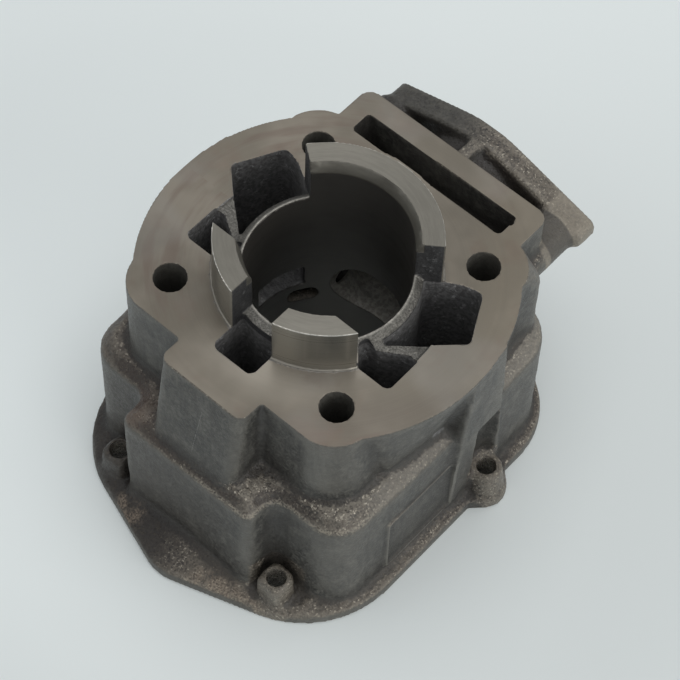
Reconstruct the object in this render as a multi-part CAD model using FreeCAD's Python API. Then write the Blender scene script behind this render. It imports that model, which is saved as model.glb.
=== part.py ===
import FreeCAD, Part
import math
import os

# Liquid cooled two-stroke engine cylinder, one grey iron casting, standing on its head face.
# Millimetres. z = 0 is the head face, z = deck_z the crankcase face, the bore axis is x = y = 0.
# The exhaust side is +Y, the rear (boost) side is -Y.

# Main levels
deck_z = 66.5
spigot_h = 14.6
ledge_in_z = deck_z - 26.0
ledge_out_z = deck_z - 29.0

# Bore and spigot
bore_r = 20.15
spigot_r = 27.0
notch_top = deck_z + spigot_h + 1.0
spigot_chamfer = 1.3
spigot_chamfer_h = 3.0
skirt_wall = 2.45
side_rim_h = 1.9
boost_rim_h = 5.3
web_drop = 0.9
boost_notch_half = 6.05
side_notch_angle = 36.5
rear_notch_y = -14.8

# Crankcase studs
stud_half = 26.0
stud_hole_r = 4.05
stud_boss_r = 10.4
deck_arc_r = 45.8

# Crankcase face outline
rear_tab_half = 12.8
rear_tab_y = -43.6
rear_tab_foot_y = -47.8
rear_wall_y = -36.8
front_tab_half = 28.7
front_tab_y = 47.5

# Head flange
rim_h = 2.8
rim_slope_h = 4.4
rim_slope_w = 10.0
side_x = 45.0
rear_apex_y = -61.4
front_apex_y = 56.0
apex_slope = 0.335
lug_x = 43.9
lug_y = 11.7
lug_r = 5.8
boss_top_z = 11.5
head_hole_r = 2.5
rear_boss_x = 26.3
rear_boss_y = -46.3
rear_boss_half = 3.9

# Jacket walls
jacket_x = 41.8
jacket_rear_y = -41.2
jacket_corner_r = 9.0
jacket_taper = 0.8
jacket_tab_half = 20.9
jacket_tab_y = -50.3
jacket_front_y = 41.5
jacket_front_tab_half = 26.5
jacket_front_tab_y = 46.0
ledge_brow = 0.8
ledge_inset = 3.3
ledge_crown_z = deck_z - 25.0
ledge_crown_inset = 8.0

# Water space
liner_r = 25.5
water_top_z = 20.0
water_wall = 4.4
stud_pillar_r = 8.2

# Coolant slot in the crankcase face
slot_x0 = -23.4
slot_x1 = 22.8
slot_y0 = 35.1
slot_y1 = 41.7
slot_depth = 11.5
slot_leg_x = 17.6

# Ports, as depths below the crankcase face
port_low = 27.5
transfer_high = 34.6
boost_high = 35.5
exhaust_mid = 35.2
exhaust_half_w = 12.5
exhaust_half_h = 8.2
relief_mid = 39.7

# Exhaust flange
flange_y0 = 54.6
flange_y1 = 61.0
flange_apex_depth = 3.8
flange_end_x = 33.4
flange_end_depth = 14.8
flange_left_x = 29.2
flange_left_depth = 13.0
flange_left_foot = 7.0
outlet_depth = 20.5
outlet_r = 11.0
outlet_seat_r = 16.5
exhaust_stud_x = 25.5
exhaust_stud_depth = 15.5
exhaust_stud_r = 2.5
exhaust_boss_r = 6.0

# Plain framed panel on the +X jacket wall
panel_y0 = -24.0
panel_y1 = 0.3
panel_z0 = deck_z - 61.0
panel_z1 = deck_z - 40.0
panel_line = 0.8
panel_rise = 0.6


def vec(x, y, z):
    return FreeCAD.Vector(x, y, z)


def outline(points, place):
    # Closed wire through corners given as (a, b, radius), each corner rounded by its radius.
    n = len(points)
    starts = []
    ends = []
    mids = []
    for i in range(n):
        ax, ay, ar = points[i]
        px, py, pr = points[i - 1]
        qx, qy, qr = points[(i + 1) % n]
        d1x, d1y = ax - px, ay - py
        l1 = math.hypot(d1x, d1y)
        d1x, d1y = d1x / l1, d1y / l1
        d2x, d2y = qx - ax, qy - ay
        l2 = math.hypot(d2x, d2y)
        d2x, d2y = d2x / l2, d2y / l2
        turn = math.acos(max(-1.0, min(1.0, d1x * d2x + d1y * d2y)))
        t = ar * math.tan(turn / 2.0)
        bx, by = d2x - d1x, d2y - d1y
        bl = math.hypot(bx, by)
        h = ar / math.cos(turn / 2.0) - ar
        starts.append((ax - d1x * t, ay - d1y * t))
        ends.append((ax + d2x * t, ay + d2y * t))
        mids.append((ax + bx / bl * h, ay + by / bl * h))
    edges = []
    for i in range(n):
        if points[i][2] > 0.0:
            arc = Part.Arc(place(*starts[i]), place(*mids[i]), place(*ends[i]))
            edges.append(arc.toShape())
        a = ends[i]
        b = starts[(i + 1) % n]
        if math.hypot(a[0] - b[0], a[1] - b[1]) > 0.001:
            edges.append(Part.makeLine(place(*a), place(*b)))
    return Part.Wire(edges)


def level(z):
    return lambda x, y: vec(x, y, z)


def prism(points, z0, z1):
    face = Part.Face(outline(points, level(z0)))
    return face.extrude(vec(0, 0, z1 - z0))


def loft(low, z0, high, z1):
    return Part.makeLoft([outline(low, level(z0)), outline(high, level(z1))], True, True)


def inset(points, d):
    # The same counter-clockwise outline moved inward by d, with its radii changed to suit.
    n = len(points)
    out = []
    for i in range(n):
        ax, ay, ar = points[i]
        px, py, pr = points[i - 1]
        qx, qy, qr = points[(i + 1) % n]
        l1 = math.hypot(ax - px, ay - py)
        u1x, u1y = (ax - px) / l1, (ay - py) / l1
        l2 = math.hypot(qx - ax, qy - ay)
        u2x, u2y = (qx - ax) / l2, (qy - ay) / l2
        n1x, n1y = -u1y, u1x
        n2x, n2y = -u2y, u2x
        cross = u1x * u2y - u1y * u2x
        k = d / (1.0 + n1x * n2x + n1y * n2y)
        r = 0.0
        if ar > 0.0:
            r = max(ar - d if cross > 0 else ar + d, 0.2)
        out.append((ax + (n1x + n2x) * k, ay + (n1y + n2y) * k, r))
    return out


def mirrored(half):
    # A right half running from -Y to +Y, closed with its mirror image.
    return half + [(-x, y, r) for x, y, r in reversed(half)]


def cylinder(r, z0, z1, x=0.0, y=0.0):
    return Part.makeCylinder(r, z1 - z0, vec(x, y, z0))


def both(shape):
    return [shape, shape.mirror(vec(0, 0, 0), vec(1, 0, 0))]


def joined(shapes):
    body = shapes[0]
    for shape in shapes[1:]:
        body = body.fuse(shape)
    return body.removeSplitter()


def carved(body, shapes):
    for shape in shapes:
        body = body.cut(shape)
    return body


add = []

# Head flange: square rim, then a gentle slope up to the jacket walls
flange_half_rear = rear_apex_y + apex_slope * side_x
flange_half_front = front_apex_y - apex_slope * side_x
flange = [(0.0, rear_apex_y, 12.8),
          (side_x, flange_half_rear, 28.0),
          (side_x, flange_half_front, 22.2),
          (0.0, front_apex_y, 12.8),
          (-side_x, flange_half_front, 22.2),
          (-side_x, flange_half_rear, 28.0)]
rim = prism(flange, 0.0, rim_h)
slope = loft(flange, rim_h, inset(flange, rim_slope_w), rim_h + rim_slope_h)
foot = rim.fuse(slope).removeSplitter()
add.append(foot)

# Side lugs of the head flange, each with a tapered bolt boss
k45 = lug_r * math.sqrt(0.5)
lug = [(side_x - 6.0, lug_y + k45 + (lug_x + k45 - side_x + 6.0), 0.0),
       (side_x - 6.0, lug_y - k45 - (lug_x + k45 - side_x + 6.0), 0.0),
       (lug_x + 2.0 * k45, lug_y, lug_r)]
lug.reverse()
lug_plate = prism(lug, 0.0, rim_h + 0.6)
lug_plate = lug_plate.makeChamfer(0.6, [e for e in lug_plate.Edges
                                        if abs(e.BoundBox.ZMin - rim_h - 0.6) < 0.01 and
                                        e.BoundBox.ZLength < 0.01 and e.BoundBox.XMax > side_x - 5.9])
lug_boss = Part.makeCone(5.3, 4.0, boss_top_z - 2.0, vec(lug_x, lug_y, 2.0))
add += both(lug_plate)
add += both(lug_boss)

# Jacket with its sloping shoulder
jacket = mirrored([(jacket_tab_half, jacket_tab_y, 2.8),
                   (jacket_tab_half, jacket_rear_y, 3.5),
                   (jacket_x - jacket_taper, jacket_rear_y, jacket_corner_r),
                   (jacket_x, -18.0, 20.0),
                   (jacket_x, 20.0, 20.0),
                   (jacket_x - jacket_taper, jacket_front_y, 13.0),
                   (jacket_front_tab_half, jacket_front_y, 1.2),
                   (jacket_front_tab_half, jacket_front_tab_y, 4.0)])
crown = [(x, y, r if abs(x) > jacket_tab_half + 9.0 else 0.0) for x, y, r in jacket]
shell = joined([prism(jacket, 1.0, ledge_out_z - ledge_brow),
                loft(jacket, ledge_out_z - ledge_brow, inset(jacket, ledge_brow / 2.0), ledge_out_z),
                loft(inset(jacket, ledge_brow / 2.0), ledge_out_z, inset(jacket, ledge_inset), ledge_in_z),
                loft(inset(crown, ledge_inset), ledge_in_z, inset(crown, ledge_crown_inset), ledge_crown_z)])
add.append(shell)

# Stud columns, rear wall and rear tab
column_x = stud_half + stud_boss_r
columns = mirrored([(column_x, rear_wall_y, stud_boss_r), (column_x - 0.5, -22.0, 2.5), (28.0, -16.5, 0.0),
                    (28.0, 12.0, 0.0)])
add.append(prism(columns, 30.0, deck_z))
tab_side = Part.makePolygon([vec(-rear_tab_half, -20.0, ledge_in_z - 1.0), vec(-rear_tab_half, -20.0, deck_z),
                             vec(-rear_tab_half, rear_tab_y, deck_z),
                             vec(-rear_tab_half, rear_tab_foot_y, ledge_in_z - 1.0),
                             vec(-rear_tab_half, -20.0, ledge_in_z - 1.0)])
tab = Part.Face(tab_side).extrude(vec(2.0 * rear_tab_half, 0, 0))
tab_edges = [e for e in tab.Edges if e.BoundBox.YMax < rear_tab_y + 0.1 and e.BoundBox.ZLength > 10.0]
add.append(tab.makeFillet(2.6, tab_edges))

# Side walls: wide arc at the crankcase face drawing in to a nearly flat wall at the shoulder
a_end = math.acos(36.1 / deck_arc_r)


def deck_point(angle):
    return vec(deck_arc_r * math.cos(angle), deck_arc_r * math.sin(angle), deck_z)


def side_wire(pts, arcs, back_x):
    edges = []
    for i in range(len(pts) - 1):
        if arcs[i] is None:
            edges.append(Part.makeLine(pts[i], pts[i + 1]))
        else:
            edges.append(Part.Arc(pts[i], arcs[i], pts[i + 1]).toShape())
    z = pts[0].z
    edges.append(Part.makeLine(pts[-1], vec(back_x, pts[-1].y, z)))
    edges.append(Part.makeLine(vec(back_x, pts[-1].y, z), vec(back_x, pts[0].y, z)))
    edges.append(Part.makeLine(vec(back_x, pts[0].y, z), pts[0]))
    return Part.Wire(edges)


a1, a2 = math.radians(-27.0), math.radians(14.0)
side_top = side_wire([deck_point(-a_end), deck_point(a1), deck_point(a2), deck_point(a_end)],
                     [deck_point((a1 - a_end) / 2), deck_point((a1 + a2) / 2), deck_point((a_end + a2) / 2)],
                     15.0)
side_low = side_wire([vec(33.2, -21.6, ledge_in_z), vec(37.2, -17.8, ledge_in_z),
                      vec(38.4, 10.0, ledge_in_z), vec(36.0, 27.0, ledge_in_z)],
                     [vec(35.7, -20.6, ledge_in_z), vec(38.4, -4.0, ledge_in_z),
                      vec(37.6, 19.0, ledge_in_z)],
                     15.0)
side_wall = Part.makeLoft([side_low, side_top], True, True)
add += both(side_wall)
pillar_top = [(20.0, -0.5, 0), (deck_arc_r - 0.4, 0.5, 0), (deck_arc_r - 1.4, 12.8, 0), (20.0, 14.5, 0)]
pillar_foot = [(20.0, -2.5, 0), (42.3, -1.0, 0), (42.3, 19.0, 0), (20.0, 20.5, 0)]
add += both(loft(pillar_foot, 4.0, pillar_top, deck_z))

# Front block beside the exhaust side studs, squared below a flared neck
block_y = 37.8
block_neck = 8.0
corner_top_r = stud_boss_r + 0.2
corner_slope = 0.4625
square = mirrored([(column_x - 0.3, 10.0, 0.0), (column_x - 0.3, block_y, 3.0)])
square_neck = mirrored([(column_x - 0.3, 10.0, 0.0), (column_x - 0.3, block_y, 0.0)])
neck_end = mirrored([(column_x, 10.0, 0.0), (column_x, column_x, 0.0)])
neck = loft(square_neck, deck_z - block_neck, neck_end, deck_z)
corner = Part.makeBox(14.0, 14.0, block_neck + 2.0, vec(stud_half, stud_half, deck_z - block_neck - 1.0))
corner = corner.cut(Part.makeCone(corner_top_r + corner_slope * (block_neck + 1.0), corner_top_r - corner_slope,
                                  block_neck + 2.0, vec(stud_half, stud_half, deck_z - block_neck - 1.0)))
add.append(prism(square, 30.0, deck_z - block_neck))
add.append(carved(neck, both(corner)))

# Front tab of the crankcase face, over the coolant slot
front_tab = mirrored([(front_tab_half, 20.0, 1.0), (front_tab_half, front_tab_y, 3.3)])
front_web = mirrored([(front_tab_half, 20.0, 1.0), (front_tab_half, jacket_front_tab_y, 3.3)])
add.append(prism(front_tab, ledge_in_z + 4.0, deck_z))
add.append(loft(front_web, ledge_in_z - 2.0, front_tab, ledge_in_z + 4.0))

# Exhaust branch, flange, stud bosses and stiffening rib
port_z = deck_z - exhaust_mid
outlet_z = deck_z - outlet_depth


def facing(y):
    return lambda x, z: vec(x, y, z)


def stadium(half_w, half_h, y, z):
    # Slot-shaped face in a plane across Y, with half-round ends.
    c = half_w - half_h
    wire = Part.Wire([Part.Arc(vec(c, y, z - half_h), vec(half_w, y, z), vec(c, y, z + half_h)).toShape(),
                      Part.makeLine(vec(c, y, z + half_h), vec(-c, y, z + half_h)),
                      Part.Arc(vec(-c, y, z + half_h), vec(-half_w, y, z), vec(-c, y, z - half_h)).toShape(),
                      Part.makeLine(vec(-c, y, z - half_h), vec(c, y, z - half_h))])
    return Part.Face(wire)


port_y = 12.0
throat_y = 22.0
outlet_y = 54.0
duct_way = vec(0, outlet_y - throat_y, outlet_z - port_z)
duct_slope = math.degrees(math.atan2(outlet_z - port_z, outlet_y - throat_y))


def duct_bar(half_w, half_h, length):
    # Slot-shaped bar from the throat up the sloping way to the outlet.
    bar = stadium(half_w, half_h, 0, 0).extrude(vec(0, length, 0))
    bar.rotate(vec(0, 0, 0), vec(1, 0, 0), duct_slope)
    bar.translate(vec(0, throat_y, port_z))
    return bar


branch = duct_bar(16.6, 12.4, duct_way.Length - 2.0)
collar = Part.makeCylinder(outlet_r + 3.6, flange_y0 + 1.0 - 47.0, vec(0, 47.0, outlet_z), vec(0, 1, 0))
add.append(collar)
add.append(branch)
seat_foot = outlet_z - outlet_seat_r
end_z = deck_z - flange_end_depth
left_z = deck_z - flange_left_depth
apex_z = deck_z - flange_apex_depth + 1.6
plate_pts = [(-9.5, seat_foot, 12.0), (9.5, seat_foot, 12.0),
             (flange_end_x, end_z - 2.2, 2.4), (flange_end_x - 0.2, end_z + 2.2, 2.4),
             (0.0, apex_z, 30.0),
             (-flange_left_x + 0.2, left_z + 2.2, 2.4), (-flange_left_x, left_z - flange_left_foot, 5.0)]
plate = Part.Face(outline(plate_pts, facing(flange_y1))).extrude(vec(0, flange_y0 - flange_y1, 0))
plate_back = [e for e in plate.Edges if e.BoundBox.YLength < 0.01 and e.BoundBox.YMin < flange_y0 + 0.01]
plate = plate.makeChamfer(0.9, plate_back)
add.append(plate)
boss_z = deck_z - exhaust_stud_depth
stud_boss = Part.makeCylinder(exhaust_boss_r, flange_y0 + 1.0 - 38.0, vec(exhaust_stud_x, 38.0, boss_z),
                              vec(0, 1, 0))
add += both(stud_boss)
rib = Part.makeBox(3.4, flange_y0 + 0.5 - front_tab_y + 1.0, 18.0,
                   vec(-1.7, front_tab_y - 1.0, deck_z - 3.2 - 18.0))
add.append(rib)

# Spigot
add.append(cylinder(spigot_r, deck_z - 2.0, deck_z + spigot_h))

# Framed panel
frame_out = Part.makeBox(2.0, panel_y1 - panel_y0, panel_z1 - panel_z0,
                         vec(jacket_x + panel_rise - 2.0, panel_y0, panel_z0))
frame_in = Part.makeBox(3.0, panel_y1 - panel_y0 - 2 * panel_line, panel_z1 - panel_z0 - 2 * panel_line,
                        vec(jacket_x - 0.2, panel_y0 + panel_line, panel_z0 + panel_line))

body = joined(add)
body = body.fuse(frame_out).cut(frame_in)

# Pockets round the square rear bosses, then the bosses
pocket = prism([(jacket_tab_half, jacket_rear_y, 0), (jacket_tab_half, -51.5, 0),
                (33.0, -51.5, 1.5), (33.0, jacket_rear_y, 0)], rim_h + 0.4, 14.0)
body = carved(body, both(pocket))
rear_boss = prism([(rear_boss_x - rear_boss_half, rear_boss_y - rear_boss_half, 1.2),
                   (rear_boss_x + rear_boss_half, rear_boss_y - rear_boss_half, 1.8),
                   (rear_boss_x + rear_boss_half, rear_boss_y + rear_boss_half, 2.6),
                   (rear_boss_x - rear_boss_half, rear_boss_y + rear_boss_half, 1.8)], 1.0, boss_top_z)
body = joined([body] + both(rear_boss))

cut = []

# Spot faces that open the side lugs to a bolt
cut += both(cylinder(4.7, boss_top_z, 34.0, lug_x, lug_y))

# Water space round the liner, open at the head face
water = mirrored([(jacket_tab_half - water_wall, jacket_tab_y + water_wall, 0.0),
                  (jacket_tab_half - water_wall, jacket_rear_y + water_wall, 0.0),
                  (jacket_x - water_wall, jacket_rear_y + water_wall, 3.0),
                  (jacket_x - water_wall, jacket_front_y - water_wall, 9.0),
                  (jacket_front_tab_half - water_wall, jacket_front_y - water_wall, 0.0),
                  (jacket_front_tab_half - water_wall, slot_y1 - 0.2, 0.0)])
space = prism(water, -1.0, water_top_z).cut(cylinder(liner_r, -2.0, water_top_z + 1.0))
for sx in (-1, 1):
    for sy in (-1, 1):
        space = space.cut(cylinder(stud_pillar_r, -2.0, water_top_z + 1.0, sx * stud_half, sy * stud_half))
cut.append(space)

# Coolant slot: shallow over the exhaust branch, two legs down to the water space
slot = prism([(slot_x0, slot_y0, 1.2), (-13.4, slot_y0, 6.0), (-9.4, slot_y0 + 0.8, 6.0),
              (-2.6, slot_y0 + 0.8, 6.0), (1.4, slot_y0 + 0.2, 6.0), (slot_x1, slot_y0 + 0.2, 1.2),
              (slot_x1, 39.0, 0.0), (slot_x1 + 0.7, 39.8, 0.3), (slot_x1 - 0.2, slot_y1 + 0.2, 0.4),
              (slot_x0, slot_y1 - 0.4, 1.2)],
             deck_z - slot_depth, deck_z + 1.0)
cut.append(slot)
leg = prism([(slot_leg_x, slot_y0 + 0.2, 1.2), (slot_x1, slot_y0 + 0.2, 1.2),
             (slot_x1, slot_y1 - 0.4, 1.2), (slot_leg_x, slot_y1 - 0.4, 1.2)],
            water_top_z - 3.0, deck_z - slot_depth + 1.0)
cut += both(leg)

# Transfer pockets from the crankcase face
pocket_r = bore_r + skirt_wall
pocket_z = deck_z - transfer_high
main = prism([(14.0, 10.36, 0), (20.8, -7.4, 0), (31.0, 1.2, 2.0), (37.6, 7.3, 1.6),
              (30.9, 20.0, 1.8), (26.0, 18.6, 4.0), (21.7, 16.06, 0.0)],
             pocket_z, notch_top)
main = main.cut(cylinder(pocket_r, 0.0, notch_top + 1.0))
second = prism([(19.6, -8.0, 0.0), (18.9, -10.2, 0.0), (22.6, -14.8, 0.0), (31.7, -14.8, 1.6),
                (31.7, -4.3, 0.8), (29.0, -4.0, 0.0), (22.4, -8.2, 0.0)],
               pocket_z, notch_top)
web_top = prism([(15.0, 5.0, 0), (15.0, -11.0, 0), (25.0, -11.0, 0), (31.4, -9.0, 0), (31.4, -4.8, 0),
                 (30.9, 3.0, 0), (26.0, 5.0, 0)], deck_z - web_drop, deck_z + side_rim_h)
rim_slope = (pocket_r - bore_r - 0.3) / side_rim_h
rim_cone = Part.makeCone(bore_r + 0.6 + rim_slope * (side_rim_h + web_drop), bore_r + 0.6,
                         side_rim_h + web_drop, vec(0, 0, deck_z - web_drop))
web_top = web_top.cut(rim_cone)
cut += both(main)
cut += both(second)
cut += both(web_top)
boost = prism([(-6.0, -18.0, 0), (-6.0, -33.1, 1.8), (6.0, -33.1, 1.8), (6.0, -18.0, 0)],
              deck_z - boost_high, deck_z + boost_rim_h)
boost = boost.cut(cylinder(pocket_r + 0.7, 0.0, deck_z + 2.0))
cut.append(boost)


def window(angle0, angle1, depth0, depth1, r1):
    # A port through the bore wall between two angles and two depths below the crankcase face.
    ring = Part.makeCylinder(r1, depth1 - depth0, vec(0, 0, deck_z - depth1), vec(0, 0, 1),
                             angle1 - angle0)
    ring.rotate(vec(0, 0, 0), vec(0, 0, 1), angle0)
    return ring


cut += both(window(-5.5, 34.0, port_low, transfer_high, pocket_r + 1.0))
cut += both(window(-31.0, -12.0, port_low, transfer_high, pocket_r))
cut.append(window(-105.0, -75.0, port_low - 1.0, boost_high, pocket_r + 1.5))

# Relief ports beside the exhaust port, joined to the exhaust duct
relief_z = deck_z - relief_mid
relief = stadium(4.0, 2.4, 13.5, relief_z).extrude(vec(0, 11.0, 0))
relief.rotate(vec(0, 0, 0), vec(0, 0, 1), -57.5)
relief_leg = Part.makeCylinder(2.4, 15.0, vec(19.0, 13.0, relief_z), vec(-0.55, 0.80, 0.22))
cut += both(relief)
cut += both(relief_leg)

# Exhaust port and duct
cut.append(stadium(exhaust_half_w, exhaust_half_h, port_y, port_z).extrude(vec(0, throat_y + 3.4 - port_y, 0)))
cut.append(duct_bar(exhaust_half_w, exhaust_half_h - 0.4, duct_way.Length - 4.0))
cut.append(Part.makeCylinder(outlet_r, flange_y1 - 49.0 + 1.0, vec(0, 49.0, outlet_z), vec(0, 1, 0)))
cut += both(Part.makeCylinder(exhaust_stud_r, 17.0, vec(exhaust_stud_x, flange_y1 - 16.0, boss_z),
                              vec(0, 1, 0)))

# Bolt and stud holes
for sx in (-1, 1):
    for sy in (-1, 1):
        cut.append(cylinder(stud_hole_r, -1.0, deck_z + 1.0, sx * stud_half, sy * stud_half))
cut += both(cylinder(head_hole_r, -1.0, boss_top_z + 1.0, rear_boss_x, rear_boss_y))
cut += both(cylinder(head_hole_r, -1.0, boss_top_z + 1.0, lug_x, lug_y))

body = carved(body, cut)

# Notches that part the spigot into three segments
far = 60.0
ax = far * math.cos(math.radians(side_notch_angle))
ay = far * math.sin(math.radians(side_notch_angle))
side_notch = prism([(0.0, 0.0, 0), (0.0, rear_notch_y, 0), (far, rear_notch_y, 0), (ax, ay, 0)],
                   deck_z + side_rim_h, notch_top)
side_floor = prism([(0.0, 0.0, 0), (0.0, rear_notch_y, 0), (far, rear_notch_y, 0), (ax, ay, 0)],
                   deck_z, notch_top)
side_floor = side_floor.cut(rim_cone.fuse(cylinder(bore_r + 0.6, deck_z + side_rim_h, notch_top + 1.0)))
boost_notch = prism([(-boost_notch_half, -far, 0), (boost_notch_half, -far, 0),
                     (boost_notch_half, 0.0, 0), (-boost_notch_half, 0.0, 0)],
                    deck_z + boost_rim_h, notch_top)
boost_floor = prism([(-boost_notch_half, -far, 0), (boost_notch_half, -far, 0),
                     (boost_notch_half, 0.0, 0), (-boost_notch_half, 0.0, 0)],
                    deck_z, notch_top).cut(cylinder(pocket_r + 0.7, deck_z - 1.0, notch_top + 1.0))
body = carved(body, both(side_notch) + both(side_floor) + [boost_notch, boost_floor])

# Bore, with its lead-in at the spigot end
bore = cylinder(bore_r, -1.0, notch_top)
lead = Part.makeCone(bore_r, bore_r + spigot_chamfer * 1.33, spigot_chamfer_h + 1.0,
                     vec(0, 0, deck_z + spigot_h - spigot_chamfer_h))
body = carved(body, [bore, lead])

body = body.removeSplitter()
solids = body.Solids
print("solids", len(solids), "valid", body.isValid(), "volume", round(body.Volume))
print("sizes", [round(s.Volume) for s in solids])
casting = max(solids, key=lambda s: s.Volume)
print("box", casting.BoundBox)
os.makedirs("parts", exist_ok=True)
casting.exportStep("parts/cylinder_casting.step")
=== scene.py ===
import bpy
import math
import numpy as np
from mathutils import Euler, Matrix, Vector
from types import SimpleNamespace


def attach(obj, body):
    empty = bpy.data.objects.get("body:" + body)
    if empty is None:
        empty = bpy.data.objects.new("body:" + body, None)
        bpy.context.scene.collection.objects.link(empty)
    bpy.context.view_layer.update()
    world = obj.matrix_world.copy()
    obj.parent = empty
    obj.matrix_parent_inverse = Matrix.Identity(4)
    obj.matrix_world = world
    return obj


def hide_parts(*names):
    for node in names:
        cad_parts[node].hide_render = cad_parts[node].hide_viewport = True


# Cast iron two-stroke cylinder standing on its head face. Metres; +Z is the bore axis, +Y the exhaust side.
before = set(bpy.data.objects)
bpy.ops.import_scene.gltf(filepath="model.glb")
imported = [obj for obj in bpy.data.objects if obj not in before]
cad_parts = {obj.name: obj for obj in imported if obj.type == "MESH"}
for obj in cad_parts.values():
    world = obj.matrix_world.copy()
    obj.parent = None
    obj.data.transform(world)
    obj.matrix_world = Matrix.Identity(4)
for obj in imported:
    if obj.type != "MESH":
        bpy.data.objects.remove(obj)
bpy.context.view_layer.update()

DECK_Z = 0.0665  # crankcase face
SPIGOT_TOP = 0.0811
LEAD_Z = SPIGOT_TOP - 0.0030  # start of the lead-in at the spigot's end
EXHAUST_Y = 0.0610  # outer face of the exhaust flange
BORE_R = 0.02015
SPIGOT_R = 0.0270
STUD_AT = 0.0260  # distance of the four crankcase studs from both axes
STUD_HOLE_R = 0.00405
SIDE_BOLT = (0.0439, 0.0117)  # head bolt holes of the +X side, mirrored to the -X side
REAR_BOLT = (0.0263, -0.0463)
DRILLED_Z = 0.0112  # the bright walls of the head bolt holes end here
VOXEL = 0.00042  # grid of the softened casting
TRIANGLES = 185000
PULL = 0.6  # share of the way to its neighbours' mean that a vertex moves in one step

scene = bpy.context.scene


# Casting

def machined_weight(p):
    """1 where a surface is turned, milled or drilled and keeps its crisp edges, 0 on the sand-cast skin."""
    x, y, z = p[:, 0], p[:, 1], p[:, 2]
    milled = 0.0012
    raised_frame = (x > 0.0403) & (y > -0.0250) & (y < 0.0013) & (z > 0.0045) & (z < 0.0275)
    weight = np.zeros(len(p))
    weight[(z > DECK_Z - milled) | (z < milled)] = 1.0
    weight[y > EXHAUST_Y - 0.0007] = 1.0
    weight[np.hypot(x, y) < BORE_R + 0.0004] = 1.0
    weight[raised_frame] = 0.86
    stud_reach, bolt_reach = 0.0048, 0.0031
    for (hole_x, hole_y), reach in (
        ((STUD_AT, STUD_AT), stud_reach),
        ((STUD_AT, -STUD_AT), stud_reach),
        (SIDE_BOLT, bolt_reach),
        (REAR_BOLT, bolt_reach),
    ):
        weight[np.hypot(np.abs(x) - hole_x, y - hole_y) < reach] = 1.0
    return weight


def smooth(co, edges, weight, steps, amount=PULL):
    """Moves each vertex towards the mean of its neighbours, weight by weight."""
    moving = weight > 0
    used = moving[edges[:, 0]] | moving[edges[:, 1]]
    some, edges = np.unique(edges[used], return_inverse=True)
    edges = edges.reshape(-1, 2)
    part = co[some]
    pull = (amount * weight[some])[:, None]
    n = len(some)
    a, b = edges[:, 0], edges[:, 1]
    count = np.maximum(np.bincount(a, minlength=n) + np.bincount(b, minlength=n), 1)
    for _ in range(steps):
        mean = np.empty_like(part)
        for k in range(part.shape[1]):
            c = part[:, k]
            mean[:, k] = (np.bincount(a, c[b], n) + np.bincount(b, c[a], n)) / count
        part += (mean - part) * pull
    co[some] = part
    return co


def blurred(values, ends, steps):
    """One value per vertex, drawn towards those of its neighbours."""
    return smooth(values[:, None].copy(), ends, np.ones(len(values)), steps)[:, 0]


def fade(values, start, width):
    """0 from start upwards, rising to 1 where the value lies width below it."""
    return np.clip((start - values) / width, 0, 1)


def waves(p, scale, seed):
    """Smooth uneven field between about -1 and 1, as sand-cast walls have."""
    rng = np.random.default_rng(seed)
    count = 14
    out = np.zeros(len(p))
    for _ in range(count):
        heading = rng.normal(size=3)
        heading /= np.linalg.norm(heading)
        turns = rng.uniform(0.6, 1.7) * 2 * math.pi / scale
        out += np.sin(p @ heading * turns + rng.uniform(0, 6.3))
    return out / count ** 0.5 / 1.2


def read(items, name, width=1, kind=np.float32):
    """One value or vector for each vertex, edge, face or corner of a mesh."""
    values = np.empty(len(items) * width, kind)
    items.foreach_get(name, values)
    return values.reshape(-1, width) if width > 1 else values


def points(mesh):
    return read(mesh.vertices, "co", 3).astype(np.float64)


def put_points(mesh, co):
    mesh.vertices.foreach_set("co", co.astype(np.float32).ravel())
    mesh.update()


def edge_ends(mesh):
    return read(mesh.edges, "vertices", 2, np.int32)


def relief(mesh, ends):
    """How far each vertex stands out of (+) or sinks into (-) its surroundings, a few millimetres wide."""
    co = points(mesh)
    flat = smooth(co.copy(), ends, np.ones(len(co)), 24, 0.7)
    return ((co - flat) * read(mesh.vertices, "normal", 3)).sum(1)


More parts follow.
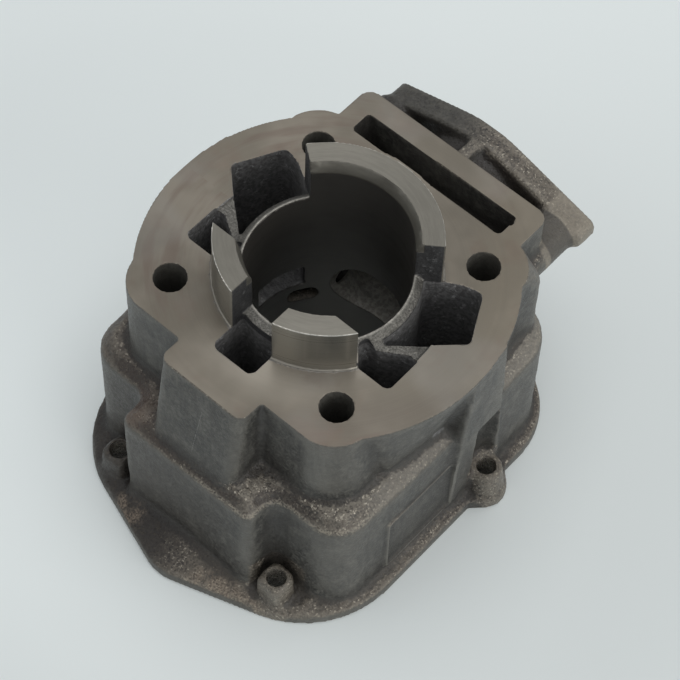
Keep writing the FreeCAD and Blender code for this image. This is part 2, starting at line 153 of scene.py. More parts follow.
def true_normals(mesh):
    """Gives turned, milled and drilled faces the shading normals of their exact planes and cylinders."""
    centre = read(mesh.polygons, "center", 3)
    facing = read(mesh.polygons, "normal", 3)
    face_of = np.repeat(np.arange(len(centre)), read(mesh.polygons, "loop_total", kind=np.int32))
    at = points(mesh)[read(mesh.loops, "vertex_index", kind=np.int32)]
    given = np.zeros((len(at), 3))

    for z, up in ((DECK_Z, 1), (SPIGOT_TOP, 1), (0.0, -1)):
        flat = (np.abs(centre[:, 2] - z) < 0.00012) & (facing[:, 2] * up > 0.97)
        given[flat[face_of]] = (0, 0, up)
    flat = (centre[:, 1] > EXHAUST_Y - 0.0002) & (facing[:, 1] > 0.97)
    given[flat[face_of]] = (0, 1, 0)

    # Round walls: axis, radius, outward (1) or inward (-1), lower and upper end
    walls = [(0.0, 0.0, SPIGOT_R, 1, DECK_Z, SPIGOT_TOP), (0.0, 0.0, BORE_R, -1, 0.0, LEAD_Z + 0.0002)]
    for sx in (-1, 1):
        for sy in (-1, 1):
            walls.append((sx * STUD_AT, sy * STUD_AT, STUD_HOLE_R, -1, 0.0, DECK_Z))
    for axis_x, axis_y, radius, sign, low, high in walls:
        dx, dy = centre[:, 0] - axis_x, centre[:, 1] - axis_y
        r = np.hypot(dx, dy)
        outward = (facing[:, 0] * dx + facing[:, 1] * dy) / np.maximum(r, 1e-6)
        on_wall = (np.abs(r - radius) < 0.0003) & (outward * sign > 0.93)
        on_wall &= (centre[:, 2] > low) & (centre[:, 2] < high)
        on = on_wall[face_of]
        px, py = at[on, 0] - axis_x, at[on, 1] - axis_y
        pr = np.hypot(px, py)
        given[on] = np.stack([sign * px / pr, sign * py / pr, np.zeros(len(px))], 1)
    mesh.normals_split_custom_set(given.tolist())


def modified(piece, name, kind, **settings):
    """The piece's mesh with one modifier worked in."""
    modifier = piece.modifiers.new(name, kind)
    for setting, value in settings.items():
        setattr(modifier, setting, value)
    mesh = bpy.data.meshes.new_from_object(piece.evaluated_get(bpy.context.evaluated_depsgraph_get()))
    piece.modifiers.clear()
    return mesh


def soften(mesh):
    """Rounds the cast edges, the hollows and the foot of the rear bosses, and makes the skin uneven."""
    ends = edge_ends(mesh)
    co = points(mesh)
    cast = 1.0 - machined_weight(co)
    co = smooth(co, ends, cast, 7)
    put_points(mesh, co)
    sunk = fade(relief(mesh, ends), 0.0, 0.00010) * fade(co[:, 2], DECK_Z - 0.0025, 0.002)
    sunk = blurred(sunk, ends, 4)
    co = smooth(co, ends, cast * sunk, 30)
    boss = np.hypot(np.abs(co[:, 0]) - REAR_BOLT[0], co[:, 1] - REAR_BOLT[1])
    near_boss = fade(boss, 0.0120, 0.002) * fade(co[:, 2], 0.0150, 0.001)
    co = smooth(co, ends, cast * near_boss, 30)
    co = smooth(co, ends, cast * near_boss * sunk, 70)
    put_points(mesh, co)
    normal = read(mesh.vertices, "normal", 3)
    up = np.clip(normal[:, 2], 0, 1)
    skin = waves(co, 0.0045, 3) * 0.00004 + waves(co, 0.0016, 5) * (0.00003 + 0.00006 * up)
    co += normal * (skin * blurred(cast, ends, 3))[:, None]
    put_points(mesh, co)


def soft_casting():
    """The casting with the rounded edges, fillets and uneven skin that sand casting leaves."""
    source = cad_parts["cylinder_casting"]
    piece = bpy.data.objects.new("casting", source.data.copy())
    piece.matrix_world = source.matrix_world
    scene.collection.objects.link(piece)
    mesh = modified(piece, "grid", "REMESH", mode="VOXEL", voxel_size=VOXEL)
    soften(mesh)
    piece.data = mesh
    triangles = len(mesh.polygons) * 2
    mesh = modified(piece, "thin", "DECIMATE", ratio=min(1.0, TRIANGLES / triangles))
    piece.data = mesh
    mesh.polygons.foreach_set("use_smooth", np.ones(len(mesh.polygons), bool))
    mesh.set_sharp_from_angle(angle=math.radians(38))
    true_normals(mesh)
    stands = relief(mesh, edge_ends(mesh)) * 1000.0
    mesh.attributes.new("relief", "FLOAT", "POINT").data.foreach_set("value", stands.astype(np.float32))
    print("casting triangles", len(mesh.polygons))
    return piece


# Materials

class Graph:
    """Short names for the shader nodes of one material. A mask is 1 where it holds and 0 elsewhere."""

    def __init__(self, material):
        self.nodes = material.node_tree.nodes
        self.links = material.node_tree.links

    def put(self, socket, v):
        if isinstance(v, bpy.types.NodeSocket):
            self.links.new(v, socket)
        else:
            socket.default_value = v

    def node(self, kind, inputs=(), **settings):
        made = self.nodes.new("ShaderNode" + kind)
        for name, setting in settings.items():
            setattr(made, name, setting)
        for socket, v in zip(made.inputs, inputs):
            self.put(socket, v)
        return made

    def op(self, kind, *inputs):
        return self.node("Math", inputs, operation=kind).outputs[0]

    def add(self, a, b):
        return self.op("ADD", a, b)

    def sub(self, a, b):
        return self.op("SUBTRACT", a, b)

    def mul(self, *vs):
        out = vs[0]
        for v in vs[1:]:
            out = self.op("MULTIPLY", out, v)
        return out

    def most(self, *vs):
        out = vs[0]
        for v in vs[1:]:
            out = self.op("MAXIMUM", out, v)
        return out

    def off(self, v):
        """The opposite of a mask."""
        return self.sub(1.0, v)

    def size(self, v):
        return self.op("ABSOLUTE", v)

    def length(self, a, b):
        return self.op("SQRT", self.add(self.mul(a, a), self.mul(b, b)))

    def ramp(self, v, start, end, low=0.0, high=1.0):
        """Goes smoothly from low at start to high at end, where end may lie below start."""
        made = self.node("MapRange", interpolation_type="SMOOTHSTEP")
        self.put(made.inputs["Value"], v)
        for name, given in (("From Min", start), ("From Max", end), ("To Min", low), ("To Max", high)):
            self.put(made.inputs[name], given)
        return made.outputs["Result"]

    def near(self, v, centre, half, soft):
        return self.ramp(self.size(self.sub(v, centre)), half + soft, half)

    def noise(self, place, scale, detail, rough):
        made = self.node("TexNoise")
        for name, given in (("Vector", place), ("Scale", scale), ("Detail", detail), ("Roughness", rough)):
            self.put(made.inputs[name], given)
        return made.outputs["Fac"]

    def split(self, v):
        return self.node("SeparateXYZ", (v,)).outputs

    def join(self, *vs):
        return self.node("CombineXYZ", vs).outputs[0]

    def mix(self, share, a, b):
        made = self.node("Mix", data_type="RGBA")
        self.put(made.inputs[0], share)
        for slot, colour in ((6, a), (7, b)):
            linked = isinstance(colour, bpy.types.NodeSocket)
            self.put(made.inputs[slot], colour if linked else (*colour, 1.0))
        return made.outputs[2]

    def layers(self, base, rows):
        """Lays colour after colour over the base. Each row holds masks and shares, and then the colour."""
        for *masks, colour in rows:
            base = self.mix(self.mul(*masks), base, colour)
        return base


def surface(g):
    """Where a point of the casting lies and which way it faces."""
    pos = g.node("TexCoord").outputs["Object"]
    x, y, z = g.split(pos)
    nz = g.split(g.node("NewGeometry").outputs["True Normal"])[2]
    off_bolts = []
    for bolt_x, bolt_y in (REAR_BOLT, SIDE_BOLT):
        off_bolts.append(g.length(g.sub(g.size(x), bolt_x), g.sub(y, bolt_y)))
    # The left half of the exhaust flange, smoother and darker, and the boss behind its right half
    smooth_side = g.mul(g.ramp(y, 0.050, 0.053), g.ramp(x, 0.004, -0.010))
    stud_boss = g.mul(g.ramp(y, 0.0440, 0.0450), g.ramp(x, 0.0215, 0.0230), g.ramp(z, 0.0590, 0.0580))
    return SimpleNamespace(pos=pos, x=x, y=y, z=z, r=g.length(x, y), nz=nz, facing_up=g.ramp(nz, 0.2, 0.75),
                           turn=g.op("ARCTAN2", y, x), off_bolts=off_bolts, smooth_side=smooth_side,
                           stud_boss=stud_boss)


def machined_masks(g, s):
    """Where a tool has cut the iron."""
    z, r = s.z, s.r
    deck = g.mul(g.near(z, DECK_Z, 0.00010, 0.00005), g.ramp(s.nz, 0.9, 0.97))
    spigot = g.mul(g.ramp(z, DECK_Z - 0.0002, DECK_Z), g.ramp(r, SPIGOT_R - 0.0004, SPIGOT_R - 0.0002),
                   g.ramp(r, SPIGOT_R + 0.0006, SPIGOT_R + 0.0004), g.off(deck))
    spigot_top = g.ramp(z, SPIGOT_TOP - 0.0002, SPIGOT_TOP - 0.0001)
    lead = g.mul(g.ramp(z, LEAD_Z - 0.0003, LEAD_Z), g.ramp(r, 0.0222, 0.0220))
    bore = g.ramp(r, BORE_R + 0.00025, BORE_R + 0.00015)
    ends = g.most(g.ramp(z, 0.0003, 0.0001), g.ramp(s.y, EXHAUST_Y - 0.0002, EXHAUST_Y - 0.0001))
    turned = g.most(deck, spigot_top, spigot, lead, bore, ends)

    # Floors of the spigot's notches: the webs beside the bore, the bore's rim and the boost notch's rim
    web = g.mul(g.ramp(z, DECK_Z - 0.0014, DECK_Z - 0.0011), g.ramp(z, DECK_Z - 0.0003, DECK_Z - 0.0005),
                g.ramp(r, 0.0352, 0.0350))
    rim = g.mul(g.ramp(z, DECK_Z - 0.0005, DECK_Z - 0.0003), g.ramp(z, DECK_Z + 0.0024, DECK_Z + 0.0021),
                g.ramp(r, 0.0242, 0.0240))
    boost_rim = g.mul(g.near(z, DECK_Z + 0.0053, 0.0005, 0.0002), g.ramp(r, 0.0262, 0.0260))
    torn = g.mul(g.most(web, rim, boost_rim), g.ramp(s.nz, 0.25, 0.5), g.off(deck), g.off(bore))

    drilled = g.most(*[g.ramp(away, 0.00285, 0.00270) for away in s.off_bolts])
    drilled = g.mul(drilled, g.ramp(z, DRILLED_Z, DRILLED_Z - 0.0006), g.ramp(g.size(s.nz), 0.5, 0.3))
    return SimpleNamespace(deck=deck, spigot=spigot, spigot_top=spigot_top, lead=lead, bore=bore,
                           turned=turned, cast=g.off(turned), torn=torn, boost_rim=boost_rim, drilled=drilled)


def skin_textures(g, s):
    """Noises, sand grains and the raised and sunk places of the sand-cast skin: wear with painted highlights
    where it stands out, dirt with painted shade where it sinks in.
    """
    upright = g.node("VectorMath", (s.pos, (1.0, 1.0, 0.12)), operation="MULTIPLY").outputs[0]
    worked = g.node("Attribute", attribute_name="relief").outputs["Fac"]
    cells = g.node("TexVoronoi")
    g.put(cells.inputs["Vector"], s.pos)
    g.put(cells.inputs["Scale"], 2200.0)
    sand = g.split(cells.outputs["Color"])
    grain = g.noise(s.pos, 1900.0, 2.0, 0.6)
    flecks = g.mul(g.ramp(g.noise(s.pos, 520.0, 3.0, 0.65), 0.56, 0.66), g.ramp(grain, 0.42, 0.60))
    return SimpleNamespace(
        grain=grain,
        flecks=flecks,
        grit=g.noise(s.pos, 950.0, 2.0, 0.6),
        patch=g.noise(s.pos, 90.0, 3.0, 0.55),
        broad=g.noise(s.pos, 30.0, 3.0, 0.5),
        cloud=g.noise(s.pos, 240.0, 3.0, 0.6),
        streak=g.noise(upright, 700.0, 2.0, 0.6),
        speck=g.ramp(sand[0], 0.74, 1.0),
        dapple=g.ramp(sand[1], 0.0, 1.0),
        # Painted highlight and wear: paler where the skin stands out of its surroundings
        edge=g.ramp(worked, 0.12, 0.50),
        # Painted shade and dirt: darker where the skin sinks into its surroundings
        hollow_shade_and_dirt=g.ramp(worked, -0.04, -0.30),
    )


def wall_colour(g, s, t):
    """Upright walls: dark, streaked downwards, paler on outer edges with wear and painted highlights, with a
    painted reflection down the front pillar and painted highlights on the raised frame.
    """
    x, y, z = s.x, s.y, s.z
    low_left = g.mul(g.ramp(x, 0.020, -0.005), g.ramp(z, 0.046, 0.036), g.ramp(y, -0.020, -0.035))
    # Painted reflection: a lighter upright strip down the front stud pillar
    column_reflection = g.mul(g.near(x, 0.0290, 0.0016, 0.0030), g.ramp(y, -0.0300, -0.0320), g.ramp(z, 0.044, 0.050),
                   g.ramp(t.streak, 0.40, 0.60, 0.4, 1.0))
    panel_y, panel_z = -0.01185, 0.0160
    # Painted highlight on the ridges of the raised frame
    raised_frame = g.mul(g.ramp(x, 0.04205, 0.04225), g.near(y, panel_y, 0.0124, 0.0002),
                         g.near(z, panel_z, 0.0107, 0.0002))
    in_panel = g.mul(g.ramp(x, 0.0412, 0.0414), g.ramp(x, 0.0421, 0.0420), g.near(y, panel_y, 0.0116, 0.0003),
                     g.near(z, panel_z, 0.0099, 0.0003))
    base = g.mix(g.ramp(t.patch, 0.38, 0.62), (0.036, 0.035, 0.032), (0.064, 0.061, 0.054))
    return g.layers(base, (
        (g.ramp(t.grit, 0.44, 0.60), 0.60, (0.110, 0.106, 0.093)),
        (g.ramp(t.grain, 0.48, 0.62), 0.42, (0.150, 0.146, 0.130)),
        (g.ramp(t.streak, 0.50, 0.66), 0.42, (0.034, 0.033, 0.031)),
        (g.ramp(t.cloud, 0.60, 0.44), 0.30, (0.030, 0.029, 0.027)),
        (g.ramp(t.cloud, 0.54, 0.68), 0.30, (0.135, 0.130, 0.114)),
        (low_left, 0.42, (0.044, 0.036, 0.029)),
        # Painted reflection down the front stud pillar
        (column_reflection, 0.35, (0.200, 0.195, 0.172)),
        # Painted highlight and wear on the outer edges
        (t.edge, 0.35, (0.150, 0.143, 0.124)),
        (in_panel, 0.22, (0.024, 0.022, 0.020)),
        # Painted highlight on the ridges of the raised frame
        (raised_frame, 0.40, (0.19, 0.182, 0.160)),
    ))


def ledge_colour(g, s, t):
    """Faces that look up: brown with pale sand grains, rusty and sooty in places."""
    x, y, z = s.x, s.y, s.z
    # Painted light: a paler band at the foot of the upper wall, where the ledge faces up
    lit_shelf = g.mul(g.ramp(z, 0.0395, 0.0402), g.ramp(z, 0.0440, 0.0425))
    # Painted shade in the trough of the front ledge
    valley_shade = g.mul(g.near(z, 0.0388, 0.0007, 0.0006), g.ramp(x, 0.040, 0.030), g.ramp(y, -0.020, -0.032))
    # Wear and painted highlight: a pale outer rim of the front ledge
    crest_wear_and_highlight = g.mul(g.near(z, 0.0373, 0.0005, 0.0004), g.ramp(x, -0.002, 0.006), g.ramp(y, -0.020, -0.032),
                  g.ramp(t.grain, 0.40, 0.54))
    # Painted light: the ledge paler on its right side, which faces the light
    right = g.mul(g.ramp(x, 0.020, 0.034), g.ramp(z, 0.0370, 0.0378), g.ramp(z, 0.0470, 0.0450),
                  g.ramp(y, -0.034, -0.022))
    # Painted shade: the ledge darker on its left side, away from the light
    left = g.mul(g.ramp(x, 0.002, -0.010), g.ramp(z, 0.0360, 0.0370), g.ramp(z, 0.0470, 0.0450))
    rust = g.mul(g.ramp(t.broad, 0.46, 0.62), g.ramp(x, 0.000, -0.020), g.ramp(z, 0.055, 0.045),
                 g.ramp(y, -0.010, -0.025))
    soot = g.mul(g.ramp(x, 0.006, -0.006), g.ramp(z, 0.015, 0.010), g.ramp(y, -0.024, -0.040))
    dirt = g.most(g.mul(g.near(x, 0.0175, 0.0075, 0.004), g.ramp(y, -0.0505, -0.0530)),
                  g.mul(g.near(x, -0.0160, 0.0030, 0.003), g.near(y, -0.0547, 0.0025, 0.002)))
    dirt = g.mul(dirt, g.ramp(z, 0.0120, 0.0100), g.ramp(t.cloud, 0.36, 0.56))
    dirt_colour = g.mix(g.ramp(t.grain, 0.40, 0.60), (0.085, 0.058, 0.040), (0.42, 0.335, 0.25))
    # Paler on the right halves of the rear flange and of the exhaust side
    paler_right_halves = g.most(g.mul(g.ramp(x, 0.002, 0.010), g.ramp(z, 0.012, 0.008), g.ramp(y, 0.000, -0.020)),
                  g.mul(g.ramp(x, 0.004, 0.020), g.ramp(y, 0.046, 0.050)))
    pale_brown = (0.30, 0.268, 0.215)
    base = g.mix(t.dapple, (0.026, 0.021, 0.018), (0.128, 0.110, 0.088))
    return g.layers(base, (
        (g.ramp(t.grit, 0.44, 0.60), 0.50, (0.112, 0.096, 0.077)),
        (g.ramp(t.patch, 0.46, 0.66), 0.50, (0.050, 0.036, 0.028)),
        # Pale sand grains, more of them on the painted lit band
        (t.speck, g.ramp(t.grain, 0.40, 0.58), g.add(0.55, g.mul(lit_shelf, 0.45)), (0.62, 0.57, 0.48)),
        # Painted light on the band at the foot of the upper wall
        (lit_shelf, g.ramp(s.nz, 0.80, 0.92), g.ramp(t.grit, 0.36, 0.54), 0.38, (0.31, 0.284, 0.236)),
        # Painted shade in the trough of the front ledge
        (valley_shade, 0.50, (0.026, 0.020, 0.017)),
        # Wear and painted highlight on the outer rim of the front ledge
        (crest_wear_and_highlight, 0.50, (0.36, 0.325, 0.262)),
        # Painted light on the right side of the ledge
        (right, 0.42, (0.30, 0.280, 0.240)),
        # Painted shade on the left side of the ledge
        (left, 0.45, (0.048, 0.033, 0.026)),
        # Painted highlight and wear on the outer edges
        (t.edge, 0.30, g.ramp(t.grain, 0.35, 0.55, 0.4, 1.0), (0.32, 0.290, 0.238)),
        # Painted shade and dirt in the hollows
        (t.hollow_shade_and_dirt, 0.55, (0.024, 0.018, 0.015)),
        (rust, 0.60, (0.105, 0.052, 0.032)),
        (soot, 0.85, (0.020, 0.016, 0.014)),
        (dirt, 0.42, dirt_colour),
        # Paler right halves
        (paler_right_halves, 0.14, pale_brown),
        (s.stud_boss, 0.45, pale_brown),
    ))


def ledge_mask(g, s, t):
    """Where the skin has the brown of the ledges: faces that look up, the exhaust flange and the bosses."""
    brown = g.mul(g.ramp(s.y, 0.0478, 0.0490), g.ramp(s.x, -0.002, 0.006), 0.85)
    brown = g.most(brown, g.mul(s.stud_boss, 0.9))
    for away, reach in zip(s.off_bolts, (0.0074, 0.0066)):
        brown = g.most(brown, g.mul(g.ramp(away, reach, reach - 0.001), g.ramp(s.z, 0.0140, 0.0130), 0.9))
    return g.mul(g.most(s.facing_up, brown), g.ramp(t.patch, 0.1, 0.45, 0.8, 1.0),
                 g.off(g.mul(s.smooth_side, 0.85)))


def torn_colour(g, s, t):
    """Webs and rims in the notches: brighter and torn, with a painted highlight along the bore's rim."""
    scored = g.noise(s.pos, 2100.0, 3.0, 0.7)
    base = g.mix(g.ramp(scored, 0.36, 0.64), (0.092, 0.088, 0.079), (0.170, 0.163, 0.147))
    return g.layers(base, (
        (t.flecks, 0.55, (0.36, 0.345, 0.31)),
        # Painted highlight along the bore's rim
        (g.ramp(s.r, BORE_R + 0.0010, BORE_R + 0.0003), 0.6, (0.50, 0.48, 0.43)),
    ))


def skin_colour(g, s, t, m, up):
    """Everything that no tool has turned or milled, with the pockets, the ducts and the drilled holes."""
    x, y, z, r = s.x, s.y, s.z, s.r
    half = g.size(x)
    off_stud = g.length(g.sub(half, STUD_AT), g.sub(g.size(y), STUD_AT))
    pocket = g.mul(g.ramp(r, 0.0392, 0.0390), g.ramp(z, 0.029, 0.030), g.ramp(off_stud, 0.0044, 0.0046),
                   g.ramp(y, 0.0305, 0.0300))
    cored = g.mix(g.ramp(t.grit, 0.38, 0.62), (0.105, 0.103, 0.103), (0.190, 0.188, 0.188))
    cored = g.mix(g.mul(t.flecks, 0.7), cored, (0.45, 0.45, 0.45))
    # Painted shade deep in the pockets of the exhaust half
    port_shade = g.mul(pocket, g.ramp(z, 0.0400, 0.0370), g.ramp(y, 0.000, 0.002))
    # Painted light on the floor and walls of the exhaust passage in the bore
    lit_duct = g.mul(g.ramp(half, 0.0130, 0.0128), g.ramp(y, 0.0100, 0.0110), g.ramp(y, 0.0390, 0.0360),
                 g.ramp(z, 0.0225, 0.0228), g.ramp(z, 0.046, 0.044))
    lit_duct_colour = g.mix(g.ramp(t.grit, 0.40, 0.62), (0.26, 0.25, 0.225), (0.40, 0.385, 0.345))
    cut_end = g.mul(g.ramp(z, DECK_Z - 0.0004, DECK_Z), g.ramp(r, 0.0269, 0.0266), g.off(m.torn))
    cut_end_colour = g.mix(g.mul(t.flecks, 0.6), (0.022, 0.022, 0.023), (0.12, 0.12, 0.12))
    # Painted shade on the strips behind the exhaust flange
    shade = g.mul(g.near(y, 0.0505, 0.0036, 0.0006), g.ramp(z, DECK_Z - 0.0040, DECK_Z - 0.0065))
    shade_behind_flange = g.mul(g.ramp(y, 0.0455, 0.0465), g.ramp(y, 0.0551, 0.0547), g.ramp(half, 0.0020, 0.0032),
                   g.ramp(x, 0.0228, 0.0200), g.ramp(z, 0.0618, 0.0606))
    # A light scratch down the rear tab
    scratch_x = g.add(g.mul(z, 0.0877), -0.00368)
    scratch = g.mul(g.near(g.sub(x, scratch_x), 0.0, 0.00006, 0.00008), g.ramp(y, -0.0440, -0.0445),
                    g.near(z, 0.0515, 0.0075, 0.001), g.ramp(t.grain, 0.40, 0.55))
    # Drilled walls: bright bare iron with a painted reflection, lighter towards their upper end where the
    # light enters
    hole_colour = g.mix(g.ramp(z, 0.0050, 0.0070), (0.20, 0.18, 0.16), (0.50, 0.47, 0.42))
    # A dark gap across the rim of the boost notch
    gap = g.mul(g.near(g.sub(x, 0.00034), 0.0, 0.00022, 0.0001), m.boost_rim)
    base = g.mix(up, wall_colour(g, s, t), ledge_colour(g, s, t))
    return g.layers(base, (
        # Painted shade and dirt in the hollows
        (t.hollow_shade_and_dirt, 0.58, (0.024, 0.022, 0.020)),
        # Painted shade deep in the pockets of the exhaust half
        (pocket, 0.85, cored),
        (port_shade, 0.70, (0.040, 0.040, 0.041)),
        # Painted light in the exhaust passage
        (lit_duct, 0.8, lit_duct_colour),
        (cut_end, 0.85, cut_end_colour),
        # Painted shade behind the exhaust flange
        (shade, 0.70, (0.026, 0.025, 0.024)),
        (shade_behind_flange, 0.72, (0.026, 0.021, 0.018)),
        (s.smooth_side, 0.45, (0.042, 0.039, 0.034)),
        (scratch, 0.55, (0.26, 0.26, 0.24)),
        # Drilled walls with their painted reflection
        (m.drilled, hole_colour),
        (m.torn, torn_colour(g, s, t)),
        (gap, (0.012, 0.012, 0.012)),
    ))


def spigot_gleam(g, s):
    """Painted highlights on the spigot's outer wall: upright bands, lighter at its foot and where its front
    segment ends.
    """
    bands = g.noise(g.join(g.mul(s.turn, 0.0270)), 260.0, 2.0, 0.5)
    foot = g.ramp(s.z, DECK_Z + 0.0060, DECK_Z + 0.0010)
    return g.most(g.mul(foot, 0.50), g.mul(g.ramp(bands, 0.46, 0.68), 0.30),
                  g.mul(g.ramp(s.y, -0.0225, -0.0252), 0.60))


def bore_colour(g, s, mottled):
    base = g.mix(g.ramp(mottled, 0.3, 0.7), (0.084, 0.079, 0.072), (0.108, 0.101, 0.091))
    # Painted reflection: a soft lighter band down the bore wall, stronger low down
    sheen = g.mul(g.ramp(g.size(g.sub(s.turn, 2.15)), 0.80, 0.10), g.ramp(s.z, 0.066, 0.020))
    return g.mix(g.mul(sheen, 0.75), base, (0.185, 0.176, 0.160))


def machined_colour(g, s, m, marks):
    """Turned and milled iron with turning marks and faint brown arcs."""
    x, y, z, r = s.x, s.y, s.z, s.r
    band = g.noise(g.join(r, z), 420.0, 2.0, 0.5)
    mottled = g.noise(s.pos, 48.0, 3.0, 0.6)
    arcs = g.noise(g.join(r, g.mul(s.turn, 0.0065)), 230.0, 3.0, 0.6)
    brushed = g.noise(g.join(r, g.mul(s.turn, 0.0022), g.mul(z, 0.6)), 1900.0, 3.0, 0.65)
    dull = g.mul(g.near(g.add(g.mul(x, 0.74), g.mul(y, -0.67)), 0.0440, 0.0050, 0.008), m.deck)
    warm = g.mul(m.deck, g.ramp(g.add(g.mul(x, 0.80), g.mul(y, 0.60)), 0.030, 0.042))
    # Painted highlight: a bright patch of the deck in front of the spigot, where the turning marks catch the
    # light
    deck_highlight = g.mul(g.ramp(g.add(g.mul(x, 0.50), g.mul(y, -0.866)), 0.0225, 0.0285), g.ramp(r, 0.0400, 0.0310),
                 g.ramp(x, 0.027, 0.017))
    fresh = g.most(m.spigot_top, m.lead, m.spigot)
    fresh_colour = g.mix(g.ramp(brushed, 0.36, 0.64), (0.176, 0.169, 0.147), (0.205, 0.197, 0.171))
    # Painted highlight along the spigot's outer top rim, stronger at the front
    lip_highlight = g.mul(g.ramp(z, SPIGOT_TOP - 0.0003, SPIGOT_TOP - 0.00012),
                g.ramp(r, SPIGOT_R - 0.0003, SPIGOT_R - 0.00012))
    in_bore = g.mul(m.bore, g.ramp(z, LEAD_Z, LEAD_Z - 0.0004))
    stained_side = g.most(g.ramp(x, -0.010, -0.030),
                          g.mul(g.ramp(x, 0.022, 0.030), g.ramp(y, -0.020, -0.030)))
    brown_spots = g.ramp(g.noise(s.pos, 75.0, 4.0, 0.62), 0.50, 0.68)
    grey_spots = g.ramp(g.noise(s.pos, 38.0, 2.0, 0.5), 0.50, 0.62)
    base = g.mix(g.ramp(mottled, 0.38, 0.62), (0.164, 0.146, 0.117), (0.220, 0.196, 0.160))
    return g.layers(base, (
        (dull, 0.45, (0.110, 0.093, 0.076)),
        (warm, 0.30, (0.265, 0.226, 0.168)),
        (g.ramp(marks, 0.35, 0.7), 0.16, (0.25, 0.226, 0.190)),
        (g.ramp(band, 0.45, 0.7), 0.18, (0.130, 0.114, 0.092)),
        # Painted highlight on the deck
        (deck_highlight, 0.60, (0.34, 0.310, 0.262)),
        (fresh, 0.80, fresh_colour),
        (m.spigot, 0.6, (0.200, 0.192, 0.168)),
        # Painted highlights on the spigot's outer wall
        (m.spigot, spigot_gleam(g, s), (0.43, 0.400, 0.345)),
        # Painted highlight along the spigot's outer top rim
        (lip_highlight, g.ramp(y, 0.000, -0.010, 0.30, 0.75), (0.70, 0.68, 0.63)),
        # The bore with its painted reflection
        (in_bore, bore_colour(g, s, mottled)),
        (m.deck, g.ramp(arcs, 0.47, 0.66), stained_side, 0.45, (0.140, 0.100, 0.082)),
        (m.deck, brown_spots, 0.32, (0.165, 0.118, 0.090)),
        (m.deck, grey_spots, 0.22, (0.27, 0.262, 0.245)),
    ))


def casting_material():
    """Grey iron, sand-cast or machined by where the surface lies."""
    mat = bpy.data.materials.new("grey_iron")
    mat.use_nodes = True
    mat.node_tree.nodes.clear()
    g = Graph(mat)
    s = surface(g)
    m = machined_masks(g, s)
    t = skin_textures(g, s)
    up = ledge_mask(g, s, t)
    marks = g.noise(g.join(s.r, s.z), 2600.0, 2.0, 0.6)

    sparkle = g.most(g.mul(s.facing_up, t.speck, 0.5), g.mul(m.torn, 0.6), g.mul(m.drilled, 0.8))
    rough_cast = g.ramp(t.grain, 0.35, 0.65, 0.38, 0.60)
    rough_turned = g.sub(g.ramp(marks, 0.3, 0.7, 0.37, 0.45), g.mul(m.spigot, 0.10))
    rough = g.add(g.mul(m.cast, rough_cast), g.mul(m.turned, rough_turned))
    coarse = g.add(0.60, g.most(g.mul(up, 0.9), g.mul(m.torn, 0.7)))
    cast_height = g.mul(m.cast, g.add(g.mul(t.grain, 0.55), g.mul(t.grit, coarse)))
    turned_height = g.mul(m.turned, g.off(g.mul(m.spigot, 0.7)), marks, 0.035)
    bump = g.node("Bump")
    # Turned faces spread their shine across the grooves
    across = g.node("VectorMath", (g.join(s.x, s.y),), operation="NORMALIZE").outputs[0]

    shader = g.node("BsdfPrincipled")
    for node, name, given in (
        (bump, "Strength", 1.0),
        (bump, "Distance", 0.00016),
        (bump, "Height", g.add(cast_height, turned_height)),
        (shader, "Base Color", g.mix(m.turned, skin_colour(g, s, t, m, up), machined_colour(g, s, m, marks))),
        (shader, "Metallic", g.add(g.mul(m.turned, 0.65), g.mul(m.cast, sparkle))),
        (shader, "Roughness", g.sub(rough, g.mul(m.drilled, 0.22))),
        (shader, "Specular IOR Level", 0.5),
        (shader, "Tangent", across),
        (shader, "Anisotropic", g.mul(g.most(m.deck, m.spigot_top), 0.75)),
        (shader, "Normal", bump.outputs[0]),
    ):
        g.put(node.inputs[name], given)
    g.node("OutputMaterial", (shader.outputs[0],))
    return mat


piece = soft_casting()
piece.data.materials.clear()
piece.data.materials.append(casting_material())
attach(piece, "root")
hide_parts("cylinder_casting")


# Floor, light, camera

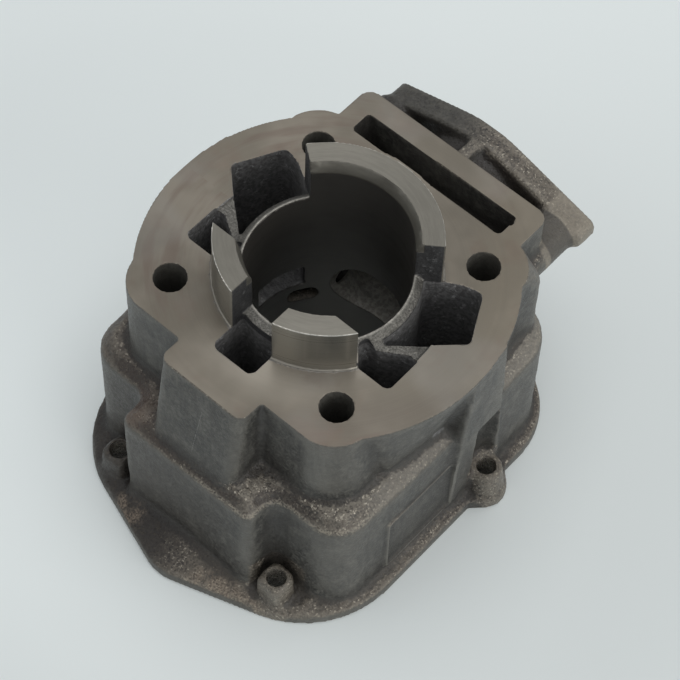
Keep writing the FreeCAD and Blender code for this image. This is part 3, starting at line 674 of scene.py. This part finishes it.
def floor_material():
    """Pale paper with painted light: lighter towards the back and round the casting's foot."""
    paper = (0.765, 0.812, 0.810)
    mat = bpy.data.materials.new("floor")
    mat.use_nodes = True
    g = Graph(mat)
    x, y, _ = g.split(g.node("TexCoord").outputs["Object"])
    back = g.sub(g.mul(y, 0.45), g.mul(x, 0.89))
    away = g.length(g.add(x, 0.022), g.add(y, 0.022))
    # Painted light: brighter towards the back and close to the casting
    floor_light = g.add(g.ramp(back, -0.06, 0.15, 0.0, 0.16), g.ramp(away, 0.130, 0.030, 0.0, 0.20))
    tint = g.node("VectorMath", (paper,), operation="SCALE")
    g.put(tint.inputs["Scale"], g.add(floor_light, 0.925))
    shader = g.nodes["Principled BSDF"]
    g.put(shader.inputs["Base Color"], tint.outputs[0])
    g.put(shader.inputs["Roughness"], 0.7)
    g.put(shader.inputs["Specular IOR Level"], 0.2)
    return mat


def softbox(name, location, size, power, colour=(1, 1, 1)):
    """A rectangular lamp that points at the casting."""
    light = bpy.data.lights.new(name, "AREA")
    light.shape = "RECTANGLE"
    light.size, light.size_y = size
    light.energy = power
    light.color = colour
    lamp = bpy.data.objects.new(name, light)
    lamp.location = location
    lamp.rotation_euler = (Vector((0, 0, 0.03)) - Vector(location)).to_track_quat("-Z", "Y").to_euler()
    scene.collection.objects.link(lamp)


def photo_camera():
    """The camera that the photo was calibrated to, with its focal length in the photo's pixels."""
    photo_width = 680.0
    focal_length = 2600.0
    tilt = (32.03948, -1.41423, 41.63255)
    sensor_width = 36.0
    optics = bpy.data.cameras.new("camera")
    optics.sensor_width = sensor_width
    optics.lens = focal_length / photo_width * sensor_width
    optics.clip_start = 0.05
    camera = bpy.data.objects.new("camera", optics)
    camera.location = (0.216333, -0.257811, 0.573878)
    camera.rotation_euler = Euler([math.radians(a) for a in tilt], "XYZ")
    scene.collection.objects.link(camera)
    return camera


bpy.ops.mesh.primitive_plane_add(size=6.0, location=(0, 0, 0))
floor = bpy.context.object
floor.name = "floor"
floor.data.materials.append(floor_material())

softbox("right", (1.35, 0.10, 0.55), (1.6, 1.0), 7.8, (1.0, 0.985, 0.955))
softbox("top", (-0.05, 0.20, 1.25), (1.0, 1.0), 4.8)

world = bpy.data.worlds.new("studio")
world.use_nodes = True
background = world.node_tree.nodes["Background"]
background.inputs["Color"].default_value = (0.965, 0.985, 1.0, 1.0)
background.inputs["Strength"].default_value = 0.52
scene.world = world
scene.camera = photo_camera()
scene.view_settings.view_transform = "Standard"
